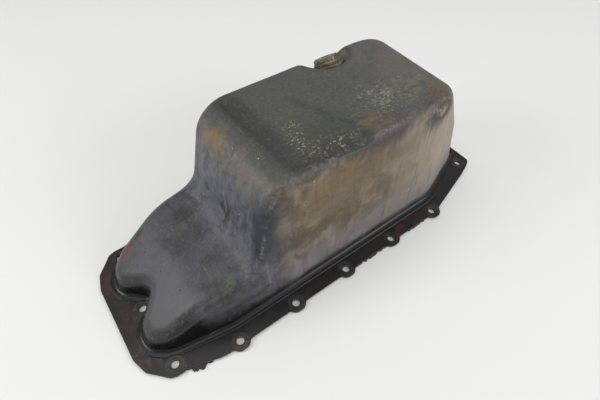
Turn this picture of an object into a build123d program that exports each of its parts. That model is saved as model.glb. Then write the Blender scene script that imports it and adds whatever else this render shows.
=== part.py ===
from build123d import *
import os
from math import cos, radians, tan

os.makedirs("parts", exist_ok=True)

# An engine oil pan, resting with its flange down. X runs along the engine: the shallow front
# is at -X and the deep sump at +X. Z is up, out through the sump floor. The origin is on the
# gasket face, midway between the middle pair of side bolts. Lengths are in millimetres.

# --- sheet and gasket ---
sheet = 1.5  # thickness of the pressed steel
gasket_thick = 1.8  # old gasket, still stuck under the flange
flange_low = gasket_thick  # underside of the flange
flange_top = flange_low + sheet

# --- side bolts ---
bolt_pitch = 62.0  # between neighbours in the two side rows
bolt_half_span = 81.0  # side rows, from the centre line
bolt_hole_r = 3.6
side_bolt_xs = [bolt_pitch * step for step in (-2, -1, 0, 1, 2)]
first_x, last_x = side_bolt_xs[0], side_bolt_xs[-1]

# --- walls of the drawn form, seen from above, where they meet the flange ---
wall_to_bolt = 15.5  # side walls, in from the side rows
wall_half = bolt_half_span - wall_to_bolt
form_offset = 1.5  # the drawn form sits this far towards +Y at its foot
form_offset_high = 1.0  # and this far just above the sump floor
draft = 2.0  # lean of the walls, degrees

toe_ahead = 69.0  # tips of the two toes, beyond the first side bolts
toe_tip = first_x - toe_ahead
toe_in = 24.0  # blunt tip of a toe, from here
toe_out = 43.0  # to here, from the centre line
toe_in_r = 17.0
toe_out_r = 18.0
cheek_back = 16.0  # where a toe's outer side turns along the pan, behind its tip
cheek_out = 12.5  # and outside the blunt tip
cheek_r = 36.0
cheek_y = toe_out + cheek_out
shoulder_back = 73.0  # where the toes reach the full width, behind their tips
shoulder_r = 60.0
notch_deep = 25.0  # corner of the notch before its rounding, behind the tips
notch_r = 9.5
notch_x = toe_tip + notch_deep

flank_behind = 10.0  # the side walls turn inwards here, behind the last side bolts
flank_lead = 16.0  # and this much earlier at the height of the sump floor
flank_angle = 21.0  # lean of that stretch to the centre line, degrees
flank_r = 50.0
flank_x = last_x + flank_behind
rear_behind = 83.0  # foot of the rear wall, behind the last side bolts
rear_foot = last_x + rear_behind
rear_foot_r = 14.0

# --- side view of the drawn form ---
tip_z = 20.5  # front slope above the tips of the toes
shelf_back = 56.0  # the slope eases here, behind the tips
shelf_low_z = 54.5
shelf_high_z = 65.5  # foot of the sump's front wall
shelf_r = 60.0
front_wall_behind = 37.0  # that foot, behind the first side bolts
front_wall_run = 21.0  # from its foot to its top
front_wall_foot_r = 26.0
front_wall_top_r = 35.0
front_floor_z = 152.5  # outside of the sump floor above the front wall
rear_floor_z = 147.5  # and above the rear wall
rear_top_ahead = 72.0  # end of the floor, ahead of the rear wall's foot
rear_top_r = 24.0
rear_foot_slope = 70.0  # lean of the rear wall above its foot, degrees from flat
rear_knee_z = 83.0  # height where the rear wall turns over towards the floor
rear_knee_r = 50.0
rim_r = 12.0  # rounding where the walls meet the floor and the shelf

# --- root, land and bolt seats ---
root_r = 4.5  # rounding where the walls meet the flange
land_width = 6.5  # raised step round the walls, outside the root
land_rise = 1.0
bolt_seat_r = 8.2  # flat kept clear for a bolt head
seat_margin = 0.5  # the land goes on this far outside the root where a seat cuts it

# --- corner bolts ---
front_bolt_behind = 12.4  # corner pair at the front, behind the tips of the toes
front_bolt_clear = 9.6  # and outside the cheeks
notch_bolt_clear = 15.3  # single bolt between the toes, ahead of the notch's corner
rear_bolt_ahead = 3.1  # corner pair at the rear, ahead of the rear wall's foot
rear_bolt_clear = 10.1  # and outside the closing walls

# --- flange outline ---
ear_r = 8.8  # rounding about each bolt
ear_blend = 4.0  # hollow where an ear runs out into the side edge
edge_beyond_row = 3.4  # side edge of the flange, outside the row of bolts
flange_half = bolt_half_span + edge_beyond_row
edge_start = 18.0  # the straight side edge starts this far ahead of the first side bolts
edge_end = 2.0  # and ends this far ahead of the last
edge_turn = (10.0, 2.4)  # next corner, behind the last side bolts and in from the edge
front_corner = [(-28.4, -25.1), (-23.4, -8.1), (-7.4, 8.4), (10.6, 10.4)]  # about the front bolts
rear_corner = [(-8.9, 14.7), (13.1, 5.0)]  # about the rear bolts

# --- pressed valley round the front near corner of the sump floor ---
valley_r = 7.0
valley_depth = 1.5
valley_drop = 4.0  # how far its ends follow the rounded edge down
valley_behind = 29.0  # its corner, behind the top of the front wall
valley_from_side = 18.5  # and in from the near wall's foot
valley_lean = 6.0  # its far end is this much nearer the front
valley_from_far = 19.5
valley_long = 63.0  # its rear end, behind the corner
valley_rear_side = 11.5

# --- drain opening ---
drain_ahead = 55.0  # middle of the flat under the boss, ahead of the last side bolts
drain_from_wall = 19.0  # in from the far wall's foot
drain_below_floor = 10.1
drain_tilt = 35.0  # its axis leans from +Z towards +Y, degrees
boss_r = 16.0
pocket_r = boss_r + 1.5
pocket_flare = 38.0  # half angle of the pocket's side, degrees
pocket_high = 45.0  # the pressing tool reaches this far out
pocket_bevel = 1.6
boss_proud = 3.0
boss_barrel_r = 14.0
boss_depth = 10.0  # below the sheet
thread_r = 11.0
thread_gap = 0.08
washer_thick = 1.5
washer_r = 14.2
plug_flange_r = 13.4
plug_flange_thick = 1.5
plug_head_flats = 22.0
plug_head_high = 6.0
plug_shank = 15.0

# The walls run on past the rear wall and the side view past the gasket face; each cuts the other.
overrun = 30.0
below = 8.0


def closing_half(x, turn_x):
    """Half width at x of the walls, which close in towards the rear from turn_x."""
    return wall_half - (x - turn_x) * tan(radians(flank_angle))


def wall_corners(turn_x, end_x):
    """Half outline of the walls from the notch to end_x."""
    toe = [(notch_x, 0), (toe_tip, toe_in), (toe_tip, toe_out), (toe_tip + cheek_back, cheek_y)]
    side = [(toe_tip + shoulder_back, wall_half), (turn_x, wall_half)]
    return toe + side + [(end_x, closing_half(end_x, turn_x))]


wall_radii = [notch_r, toe_in_r, toe_out_r, cheek_r, shoulder_r, flank_r, rear_foot_r]
foot_corners = wall_corners(flank_x, rear_foot)
root_corners = wall_corners(flank_x, rear_foot + overrun)
high_corners = wall_corners(flank_x - flank_lead, rear_foot + overrun)

front_slope = (shelf_low_z - tip_z) / shelf_back
wall_foot_x = first_x + front_wall_behind
floor_start = wall_foot_x + front_wall_run
floor_end = rear_foot - rear_top_ahead
rear_lean = 1 / tan(radians(rear_foot_slope))
side_corners = [
    (toe_tip - (tip_z + below) / front_slope, -below),
    (toe_tip + shelf_back, shelf_low_z),
    (wall_foot_x, shelf_high_z),
    (floor_start, front_floor_z),
    (floor_end, rear_floor_z),
    (rear_foot - (rear_knee_z - flange_top) * rear_lean, rear_knee_z),
    (rear_foot + (flange_top + below) * rear_lean, -below),
]
side_radii = [0, shelf_r, front_wall_foot_r, front_wall_top_r, rear_top_r, rear_knee_r, 0]

front_bolt = (toe_tip + front_bolt_behind, cheek_y + front_bolt_clear)
notch_bolt = (notch_x - notch_bolt_clear, 0)
rear_bolt_x = rear_foot - rear_bolt_ahead
rear_bolt = (rear_bolt_x, closing_half(rear_bolt_x, flank_x) + rear_bolt_clear)

side_edge = [(first_x - edge_start, flange_half), (last_x - edge_end, flange_half)]
side_edge += [(last_x + edge_turn[0], flange_half - edge_turn[1])]
flange_corners = [(front_bolt[0] + x, front_bolt[1] + y) for x, y in front_corner] + side_edge
flange_corners += [(rear_bolt[0] + x, rear_bolt[1] + y) for x, y in rear_corner]
flange_radii = [30, 6, 6, 20, 40, 6, 20, 20, 7]


def mirrored_loop(points, radii):
    """Corners and roundings of a closed outline, from its half at +Y."""
    pairs = list(zip(points, radii))
    pairs += [((x, -y), r) for (x, y), r in reversed(pairs) if y > 0]
    return [p for p, r in pairs], [r for p, r in pairs]


def inset_loop(corners, radii, distance):
    """The same closed outline moved inwards; roundings keep their centres."""
    moved, moved_radii = [], []
    for i, corner in enumerate(corners):
        here = Vector(*corner)
        before = (here - Vector(*corners[i - 1])).normalized()
        after = (Vector(*corners[(i + 1) % len(corners)]) - here).normalized()
        turn = before.cross(after).Z
        inward = Vector(before.Y + after.Y, -before.X - after.X)
        moved.append(here + inward * (distance / (1 + before.dot(after))))
        growth = distance if turn > 0 else -distance
        moved_radii.append(radii[i] + growth if radii[i] else 0)
    return moved, moved_radii


def outline(corners, radii, distance=0):
    """Closed outline in the current sketch, moved inwards by a distance."""
    loop, loop_radii = inset_loop(*mirrored_loop(corners, radii), distance)
    with BuildLine() as edge:
        FilletPolyline(*loop, radius=loop_radii, close=True)
    make_face(edge.edges())


def foot_plane(z):
    """Level plane at height z, on the centre line of the drawn form's foot."""
    return Plane(origin=(0, form_offset, z))


def floor_z(x):
    """Height of the sump floor at x."""
    return front_floor_z + (rear_floor_z - front_floor_z) * (x - floor_start) / (floor_end - floor_start)


drain_x = last_x - drain_ahead
drain_centre = (drain_x, wall_half - drain_from_wall, floor_z(drain_x) - drain_below_floor)
drain_axis = Vector(0, 0, 1).rotate(Axis.X, -drain_tilt)
drain_plane = Plane(origin=drain_centre, x_dir=(1, 0, 0), z_dir=drain_axis)


def drain_pocket(inset):
    """Tool for the pocket that seats the drain boss."""
    flare = radians(pocket_flare)
    base_r = pocket_r + inset * (1 / cos(flare) - tan(flare))
    with BuildPart() as pocket:
        with BuildSketch(drain_plane.offset(-inset)):
            Circle(base_r)
        with BuildSketch(drain_plane.offset(pocket_high - inset)):
            Circle(base_r + pocket_high * tan(flare))
        loft(ruled=True)
        chamfer(pocket.edges().group_by(Axis((0, 0, 0), drain_axis))[0], pocket_bevel + inset / 2)
    return pocket.part


def valley_tool(inset):
    """Rounded bar that presses the valley into the sump floor."""
    lift = valley_r - valley_depth
    corner_x = floor_start + valley_behind
    stops = [
        (corner_x - valley_lean, wall_half - valley_from_far, valley_drop),
        (corner_x, valley_from_side - wall_half, 0),
        (corner_x + valley_long, valley_rear_side - wall_half, valley_drop),
    ]
    points = [Vector(x, y, floor_z(x) + lift - drop) for x, y, drop in stops]
    with BuildPart() as bar:
        for start, end in zip(points, points[1:]):
            along = Plane(origin=start, z_dir=end - start)
            with BuildSketch(along):
                Circle(valley_r + inset)
            extrude(amount=(end - start).length)
        with Locations(*points):
            Sphere(valley_r + inset)
    return bar.part


def drawn_form(inset):
    """Solid of the drawn form, its skin the given distance inside the outer face."""
    high = front_floor_z + rim_r - flange_low
    ends = ((0, form_offset, root_corners), (high, form_offset_high, high_corners))
    with BuildPart() as form:
        for rise, shift, corners in ends:
            with BuildSketch(Plane(origin=(0, shift, flange_low + rise))):
                outline(corners, wall_radii, inset + rise * tan(radians(draft)))
        loft(ruled=True)
        with BuildSketch(Plane.XZ):
            with BuildLine():
                FilletPolyline(*side_corners, radius=side_radii, close=True)
            make_face()
            if inset:
                offset(amount=-inset)
        extrude(amount=2 * wall_half, both=True, mode=Mode.INTERSECT)
        rim = form.edges().filter_by(lambda e: abs((e @ 0.5).Z - floor_z((e @ 0.5).X) + inset) < 1)
        fillet(rim.sort_by(SortBy.LENGTH)[-2:], radius=rim_r - inset)
        add(drain_pocket(inset), mode=Mode.SUBTRACT)
        add(valley_tool(inset), mode=Mode.SUBTRACT)
    return form.part


def innermost_side_edge(part, z):
    """Long edge at height z that runs closest to the centre line; its whole loop is tangent."""
    level = part.edges().filter_by_position(Axis.Z, z - 0.01, z + 0.01)
    long_edges = level.filter_by(lambda e: e.length > 2 * bolt_pitch)
    return long_edges.sort_by(lambda e: abs((e @ 0.5).Y))[0]


side_holes = [(x, y) for x in side_bolt_xs for y in (-bolt_half_span, bolt_half_span)]
corner_holes = [(x, y * side) for x, y in (front_bolt, rear_bolt) for side in (-1, 1)]
all_holes = side_holes + corner_holes + [notch_bolt]


def ear_hollow(vertex):
    """Whether a side ear meets the straight edge of the flange at this vertex."""
    on_edge = abs(abs(vertex.Y) - flange_half) < 0.01
    return on_edge and abs(vertex.X) < last_x + ear_r


outer_form = drawn_form(0)
inner_form = drawn_form(sheet)

with BuildPart() as oil_pan:
    with BuildSketch(Plane.XY.offset(flange_low)) as flange:
        outline(flange_corners, flange_radii)
        with Locations(*side_holes, *corner_holes):
            Circle(ear_r)
        fillet(flange.vertices().filter_by(ear_hollow), radius=ear_blend)
    extrude(amount=sheet)
    with BuildSketch(foot_plane(flange_top)):
        outline(foot_corners, wall_radii, -land_width)
        with Locations(*[(x, y - form_offset) for x, y in all_holes]):
            Circle(bolt_seat_r, mode=Mode.SUBTRACT)
        outline(foot_corners, wall_radii, -root_r - seat_margin)
    extrude(amount=land_rise)
    add(outer_form)
    land_top = flange_top + land_rise
    fillet(innermost_side_edge(oil_pan, land_top), radius=root_r)
    with BuildSketch(foot_plane(flange_low)):
        outline(foot_corners, wall_radii, sheet - land_width)
    extrude(amount=land_rise, mode=Mode.SUBTRACT)
    add(inner_form, mode=Mode.SUBTRACT)
    with BuildSketch(Plane.XY.offset(flange_low)):
        with Locations(*corner_holes, notch_bolt):
            Circle(bolt_seat_r + sheet)
    extrude(amount=sheet)
    with Locations(*[(x, y, flange_low) for x, y in all_holes]):
        Cylinder(bolt_hole_r, 4 * sheet, mode=Mode.SUBTRACT)
    with BuildSketch(drain_plane.offset(boss_proud)):
        Circle(boss_barrel_r)
    extrude(amount=-(boss_proud + sheet + boss_depth), mode=Mode.SUBTRACT)
oil_pan.part.label = "oil_pan"
export_step(oil_pan.part, "parts/oil_pan.step")

# The drain boss is a turned ring: its collar seats on the flat of the pocket and its barrel
# passes through the sheet. The washer and the plug's head stack up on the collar.
washer_plane = drain_plane.offset(boss_proud)
head_plane = drain_plane.offset(boss_proud + washer_thick)

with BuildPart() as drain_boss:
    with BuildSketch(drain_plane):
        Circle(boss_r)
    extrude(amount=boss_proud)
    with BuildSketch(drain_plane):
        Circle(boss_barrel_r)
    extrude(amount=-(sheet + boss_depth))
    with BuildSketch(washer_plane):
        Circle(thread_r + thread_gap)
    extrude(amount=-(boss_proud + sheet + boss_depth), mode=Mode.SUBTRACT)
drain_boss.part.label = "drain_boss"
export_step(drain_boss.part, "parts/drain_boss.step")

with BuildPart() as drain_washer:
    with BuildSketch(washer_plane):
        Circle(washer_r)
        Circle(thread_r + 2 * thread_gap, mode=Mode.SUBTRACT)
    extrude(amount=washer_thick)
drain_washer.part.label = "drain_washer"
export_step(drain_washer.part, "parts/drain_washer.step")

with BuildPart() as drain_plug:
    with BuildSketch(head_plane):
        Circle(plug_flange_r)
    extrude(amount=plug_flange_thick)
    with BuildSketch(head_plane):
        RegularPolygon(radius=plug_head_flats / 2, side_count=6, major_radius=False)
    extrude(amount=plug_head_high)
    with BuildSketch(head_plane):
        Circle(thread_r)
    extrude(amount=-plug_shank)
drain_plug.part.label = "drain_plug"
export_step(drain_plug.part, "parts/drain_plug.step")

# The old gasket follows the flange, a little inside its edge, with torn tongues left sticking
# out beyond the near edge: distances along from the first side bolt and beyond the row.
gasket_inset = 0.8
tongues = [
    [(-48, -8), (-46, -2.3), (-42.7, -0.4), (-38.4, 1), (-35, 0.9), (-32, -0.8), (-28, -8)],
    [(132, 2), (146, 4.8), (158, 5.6), (172, 5.2), (181, 3.6), (184, 2)],
    [(206, 2), (212, 4.4), (222, 4.8), (232, 4.2), (238, 2)],
]

with BuildSketch() as gasket_mouth:
    outline(foot_corners, wall_radii, -land_width / 2)

with BuildPart() as old_gasket:
    with BuildSketch():
        outline(flange_corners, flange_radii, gasket_inset)
        with Locations(*side_holes, *corner_holes):
            Circle(ear_r - gasket_inset)
        for tongue in tongues:
            with BuildLine() as torn:
                Polyline(*[(first_x + x, -bolt_half_span - y) for x, y in tongue], close=True)
            make_face(torn.edges())
        with Locations((0, form_offset)):
            add(gasket_mouth.sketch, mode=Mode.SUBTRACT)
        with Locations(*all_holes):
            Circle(bolt_hole_r, mode=Mode.SUBTRACT)
    extrude(amount=gasket_thick)
old_gasket.part.label = "old_gasket"
export_step(old_gasket.part, "parts/old_gasket.step")

for piece in (oil_pan, drain_boss, drain_washer, drain_plug, old_gasket):
    print(piece.part.label, piece.part.is_valid, len(piece.part.solids()), round(piece.part.volume))
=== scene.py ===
from math import cos, pi, radians, sin, tan

import bmesh
import bpy
import numpy as np
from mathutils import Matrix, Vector


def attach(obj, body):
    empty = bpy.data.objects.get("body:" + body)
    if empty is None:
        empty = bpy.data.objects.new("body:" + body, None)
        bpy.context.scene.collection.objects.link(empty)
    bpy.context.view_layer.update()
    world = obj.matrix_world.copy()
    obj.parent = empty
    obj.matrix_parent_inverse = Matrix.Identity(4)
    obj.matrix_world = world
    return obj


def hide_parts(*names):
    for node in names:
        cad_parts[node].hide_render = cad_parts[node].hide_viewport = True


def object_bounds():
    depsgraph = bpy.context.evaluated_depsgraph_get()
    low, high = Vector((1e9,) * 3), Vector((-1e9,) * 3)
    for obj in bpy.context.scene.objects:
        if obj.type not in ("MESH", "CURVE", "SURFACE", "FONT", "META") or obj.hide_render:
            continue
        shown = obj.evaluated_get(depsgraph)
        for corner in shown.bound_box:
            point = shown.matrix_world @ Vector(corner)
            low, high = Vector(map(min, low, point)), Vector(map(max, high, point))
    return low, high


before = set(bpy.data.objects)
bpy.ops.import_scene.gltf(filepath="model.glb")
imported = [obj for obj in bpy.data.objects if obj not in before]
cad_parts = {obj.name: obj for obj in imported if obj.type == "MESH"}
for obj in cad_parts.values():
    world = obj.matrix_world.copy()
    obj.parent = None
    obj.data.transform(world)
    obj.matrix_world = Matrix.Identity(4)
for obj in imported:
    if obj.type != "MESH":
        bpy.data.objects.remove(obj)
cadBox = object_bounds()
metre = 0.001  # every size below is in millimetres, every angle in degrees

# the camera first

view = {
    "place": (-154.4, -214.8, 374.9),
    "aim": (-12.1, -18.3, 60.0),
    "lens": 24.72,
    "sensor": 36.0,
    "nearest": 0.02,
}


# an object at the origin for a mesh, a curve, a lamp or a camera
def placeObject(name, data):
    piece = bpy.data.objects.new(name, data)
    bpy.context.scene.collection.objects.link(piece)
    return piece


# a lamp or camera stands at a place and looks at its aim
def lookAt(piece, place, aim):
    piece.location = place
    piece.rotation_euler = (aim - place).to_track_quat("-Z", "Y").to_euler()


def setCamera():
    data = bpy.data.cameras.new("camera")
    data.lens = view["lens"]
    data.sensor_width = view["sensor"]
    data.clip_start = view["nearest"]
    camera = placeObject("camera", data)
    lookAt(camera, Vector(view["place"]) * metre, Vector(view["aim"]) * metre)
    bpy.context.scene.camera = camera
    bpy.context.scene.view_settings.view_transform = "Standard"


setCamera()
print("camera set")


# shader maths: a wire is a socket that takes part in sums

# a method for a sum of two wires or numbers, its own wire first or last
def sums(operation, last=False):
    def method(self, other):
        first, second = (other, self) if last else (self, other)
        return self.maths(operation, first, second)
    return method


class Wire:
    def __init__(self, maker, socket):
        self.maker = maker
        self.socket = socket

    def maths(self, operation, first, second=0.0):
        return self.maker.node("ShaderNodeMath", {"operation": operation}, {0: first, 1: second})

    __add__, __radd__ = sums("ADD"), sums("ADD", True)
    __sub__, __rsub__ = sums("SUBTRACT"), sums("SUBTRACT", True)
    __mul__, __rmul__ = sums("MULTIPLY"), sums("MULTIPLY", True)
    __truediv__ = sums("DIVIDE")
    __pow__ = sums("POWER")
    least = sums("MINIMUM")
    most = sums("MAXIMUM")

    # without its sign
    def size(self):
        return self.maths("ABSOLUTE", self)


# a screen's colour, 0 to 255, made linear
def tone(red, green, blue):
    shares = np.array([red, green, blue]) / 255.0
    linear = np.where(shares <= 0.04045, shares / 12.92, ((shares + 0.055) / 1.055) ** 2.4)
    return (*linear.tolist(), 1.0)


class Maker:
    def __init__(self, name):
        self.material = bpy.data.materials.new(name)
        self.material.use_nodes = True
        self.tree = self.material.node_tree
        self.tree.nodes.clear()
        self.colour = None

    # a node with its settings and inputs, where a wire among the inputs is linked
    def node(self, kind, settings=None, values=None, out=0):
        node = self.tree.nodes.new(kind)
        for key, value in (settings or {}).items():
            setattr(node, key, value)
        for key, value in (values or {}).items():
            if isinstance(value, Wire):
                self.tree.links.new(value.socket, node.inputs[key])
            else:
                node.inputs[key].default_value = value
        return Wire(self, node.outputs[out]) if node.outputs else None

    def vector(self, operation, values, out=0):
        return self.node("ShaderNodeVectorMath", {"operation": operation}, values, out)

    # object coordinates in millimetres
    def place(self):
        spot = self.node("ShaderNodeTexCoord", out="Object")
        return self.vector("SCALE", {0: spot, "Scale": 1 / metre})

    def parts(self, vector):
        split = self.node("ShaderNodeSeparateXYZ", {}, {0: vector})
        return [Wire(self, socket) for socket in split.socket.node.outputs]

    # coordinates stretched along the axes: a grain of so many millimetres, each way or along each
    def grain(self, vector, sizes, shift):
        sizes = sizes if isinstance(sizes, tuple) else (sizes, sizes, sizes)
        scaled = self.vector("DIVIDE", {0: vector, 1: sizes})
        return self.vector("ADD", {0: scaled, 1: shift or (0, 0, 0)})

    # clouds of a grain, with more or less detail
    def noise(self, vector, sizes, shift, detail, rough, bend=0.0):
        values = {"Scale": 1.0, "Detail": detail, "Roughness": rough, "Distortion": bend}
        values["Vector"] = self.grain(vector, sizes, shift)
        return self.node("ShaderNodeTexNoise", {}, values)

    # distance to the nearest of points strewn one to a grain
    def cells(self, vector, sizes, shift=0):
        values = {"Vector": self.grain(vector, sizes, shift), "Scale": 1.0, "Randomness": 1.0}
        return self.node("ShaderNodeTexVoronoi", {"feature": "F1"}, values, "Distance")

    # 0 below low, 1 above high, smooth between
    def rise(self, value, low, high, ends=(0.0, 1.0)):
        kind = {"interpolation_type": "SMOOTHSTEP"}
        values = {"Value": value, "From Min": low, "From Max": high, "To Min": ends[0], "To Max": ends[1]}
        return self.node("ShaderNodeMapRange", kind, values)

    # a share of a colour over another; a name stands for its colour in the palette
    def mix(self, share, under, over, blend="MIX"):
        under, over = (paint[colour] if isinstance(colour, str) else colour for colour in (under, over))
        kind = {"data_type": "RGBA", "blend_type": blend, "clamp_factor": True}
        return self.node("ShaderNodeMix", kind, {0: share, 6: under, 7: over}, 2)

    # a soft spot: 1 at its middle, 0 at its reach each way
    def spot(self, vector, middle, reach):
        away = self.vector("SUBTRACT", {0: vector, 1: middle})
        scaled = self.vector("DIVIDE", {0: away, 1: reach})
        return self.rise(self.vector("LENGTH", {0: scaled}, "Value"), 1.0, 0.0)

    # the strongest of a stain's spots
    def stain(self, vector, spots):
        marks = [self.spot(vector, middle, reach) for middle, reach in spots]
        strongest = marks[0]
        for mark in marks[1:]:
            strongest = strongest.most(mark)
        return strongest

    # lay a share of a colour over those laid before it
    def lay(self, share, over):
        self.colour = self.mix(share, self.colour, over)

    # a value carried by the mesh
    def field(self, name):
        return self.node("ShaderNodeAttribute", {"attribute_name": name}, {}, "Fac")

    # relief whose unit is a height in millimetres
    def bump(self, relief, height, strength=0.5):
        values = {"Strength": strength, "Distance": height * metre, "Height": relief}
        return self.node("ShaderNodeBump", {}, values)

    def finish(self, rough, bump=None, **values):
        inputs = {"Base Color": self.colour, "Roughness": rough, **values}
        if bump:
            inputs["Normal"] = bump
        shader = self.node("ShaderNodeBsdfPrincipled", {}, inputs)
        self.node("ShaderNodeOutputMaterial", {}, {0: shader})
        return self.material


# outlines: corners with roundings, walked clockwise seen from above

# each corner becomes an arc tangent to its two sides
def roundedLoop(corners, radii, step=0.6):
    points = np.array(corners, float)
    back = np.roll(points, 1, 0) - points
    ahead = np.roll(points, -1, 0) - points
    back /= np.linalg.norm(back, axis=1)[:, None]
    ahead /= np.linalg.norm(ahead, axis=1)[:, None]
    half = np.arccos(np.clip((back * ahead).sum(1), -1, 1)) / 2
    loop = []
    for corner, a, b, h, r in zip(points, back, ahead, half, radii):
        if r == 0:
            loop.append(corner[None])
            continue
        middle = corner + (a + b) / np.linalg.norm(a + b) * r / sin(h)
        start, end = corner + a * r / tan(h) - middle, corner + b * r / tan(h) - middle
        first = np.arctan2(start[1], start[0])
        sweep = (np.arctan2(end[1], end[0]) - first + pi) % (2 * pi) - pi
        count = max(int(abs(sweep) * r / step), 2) + 1
        angles = first + np.linspace(0, sweep, count)
        loop.append(middle + r * np.stack([np.cos(angles), np.sin(angles)], 1))
    return np.concatenate(loop)


# the other half of an outline is its mirror image
def bothSides(corners, radii):
    pairs = list(zip(corners, radii))
    pairs += [((x, -y), r) for (x, y), r in reversed(pairs) if y > 0]
    return [p for p, r in pairs], [r for p, r in pairs]


# even steps along a closed outline
def evenLoop(loop, step):
    closed = np.vstack([loop, loop[:1]])
    lengths = np.r_[0, np.cumsum(np.linalg.norm(np.diff(closed, axis=0), axis=1))]
    places = np.linspace(0, lengths[-1], max(int(lengths[-1] / step), 8), endpoint=False)
    return np.stack([np.interp(places, lengths, closed[:, k]) for k in (0, 1)], 1)


# vectors of the plan turned a quarter to the right
def quarter(flat):
    return np.stack([flat[:, 1], -flat[:, 0]], 1)


# directions to the inside of a clockwise outline
def inwards(loop):
    along = np.roll(loop, -1, 0) - np.roll(loop, 1, 0)
    return quarter(along / np.linalg.norm(along, axis=1)[:, None])


# nearest distance to an outline's sides, positive inside
def insideDistance(points, loop):
    sides = np.roll(loop, -1, 0) - loop
    lengths = np.maximum((sides ** 2).sum(1), 1e-9)
    answer = np.empty(len(points))
    batch = 4000
    for first in range(0, len(points), batch):
        away = points[first:first + batch, None] - loop[None]
        share = np.clip((away * sides).sum(2) / lengths, 0, 1)
        offset = away - share[..., None] * sides
        squared = (offset ** 2).sum(2)
        nearest = squared.argmin(1)
        row = np.arange(len(nearest))
        cross = sides[nearest, 0] * away[row, nearest, 1] - sides[nearest, 1] * away[row, nearest, 0]
        answer[first:first + batch] = np.sqrt(squared[row, nearest]) * np.where(cross > 0, -1, 1)
    return answer


# 0 below low, 1 above high, and between them a cubic that is level at both ends
def smoothStep(value, low, high):
    share = np.clip((value - low) / (high - low), 0, 1)
    return share * share * (3 - 2 * share)


# Two solids meet, each given by the depth below its skin. The smaller depth counts, and where
# both are under the radius the skin is an arc about the point at that depth in both.
def roundedMeet(first, second, radius):
    return radius - np.hypot(np.maximum(radius - first, 0), np.maximum(radius - second, 0))


# a vector of each vertex or face, as rows
def vectors(items, name):
    values = np.empty(len(items) * 3)
    items.foreach_get(name, values)
    return values.reshape(-1, 3)


# a value for each vertex or each face of a mesh
def addField(mesh, name, domain, values):
    layer = mesh.attributes.new(name, "FLOAT", domain)
    layer.data.foreach_set("value", np.asarray(values, np.float32))


# A mesh from vertices in millimetres and four-sided faces, with fields on its vertices.
# Vertices in the same place, as at a seam or a pole, become one, and a face that has one side
# less by that is a triangle.
def makeMesh(name, verts, faces, fields=None):
    _, kept, renamed = np.unique(np.round(verts, 3), axis=0, return_index=True, return_inverse=True)
    rings = renamed.reshape(-1)[faces]
    double = rings == np.roll(rings, 1, 1)
    whole, less = double.sum(1) == 0, double.sum(1) == 1
    triangles = rings[less][~double[less]].reshape(-1, 3)
    mesh = bpy.data.meshes.new(name)
    mesh.from_pydata((verts[kept] * metre).tolist(), [], rings[whole].tolist() + triangles.tolist())
    for key, values in (fields or {}).items():
        addField(mesh, key, "POINT", values[kept])
    mesh.update()
    return placeObject(name, mesh)


# faces of a grid of rows and columns, its last column joined to its first
def gridFaces(rows, columns):
    index = np.arange(rows * columns).reshape(rows, columns)
    following = np.roll(index, -1, 1)
    quads = np.stack([index[:-1], following[:-1], following[1:], index[1:]], -1)
    return quads.reshape(-1, 4)


# smooth shading, with edges sharper than the angle left sharp
def smooth(piece, angle=180.0):
    piece.data.shade_smooth()
    if angle < 180:
        piece.data.set_sharp_from_angle(angle=radians(angle))


# a piece's mesh with its modifiers, or its curve's bevel, applied
def finalMesh(piece):
    bpy.context.view_layer.update()
    graph = bpy.context.evaluated_depsgraph_get()
    return bpy.data.meshes.new_from_object(piece.evaluated_get(graph))


# the pan

pan = {
    "sheet": 1.5,
    "flangeLow": 1.8,
    "boltPitch": 62.0,
    "boltSpan": 81.0,
    "boltHole": 3.6,
    "boltSeat": 8.2,
    "frontBolt": (-180.6, 65.1),
    "rearBolt": (203.9, 48.77),
    "notchBolt": (-183.3, 0.0),
    "ear": 8.8,
    "earBlend": 2.2,
    "earSlope": 3.0,
    "earReach": 26.4,
    "edgeStep": 0.7,
    "edgeInset": 0.02,
    "edgeBeyondRow": 3.4,
    "flangeFront": -209.0,
    "flangeRear": 217.0,
    "edgeRound": 0.28,
    "draft": 2.0,
    "wallHalf": 65.5,
    "offset": 1.5,
    "offsetHigh": 1.0,
    "flankStart": 134.0,
    "flankStartHigh": 118.0,
    "flankAngle": 21.0,
    "notchCorner": -168.0,
    "toeFront": -193.0,
    "toeSpan": (24.0, 43.0),
    "toeFlank": (-177.0, 55.5),
    "cheekEnd": -120.0,
    "wallRadii": (9.5, 17, 18, 36, 60, 50, 14),
    "shelfLine": ((-239.94, -8), (-137, 54.5), (-87, 65.5)),
    "floorStart": -66.0,
    "floorEnd": 135.0,
    "floorHigh": 152.5,
    "floorLow": 147.5,
    "rearFoot": 207.0,
    "rearSlope": 70.0,
    "rearKnee": 83.0,
    "below": 8.0,
    "sideRadii": (0, 60, 26, 35, 24, 50, 0),
    "rim": 12.0,
    "root": 4.5,
    "land": 6.5,
    "landLeast": 5.0,
    "landRise": 1.0,
    "landLap": 0.15,
    "landStep": 1.2,
    "valleyRound": 7.0,
    "valleyDepth": 1.5,
    "valleyDrop": 4.0,
    "valley": ((-43, 46), (-37, -47), (26, -54)),
    "valleyLip": 3.5,
    "spineFront": -135.0,
    "spineRear": 112.0,
    "rasterX": (-215.0, 226.0),
    "rasterZ": (-4.0, 170.0),
}
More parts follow.
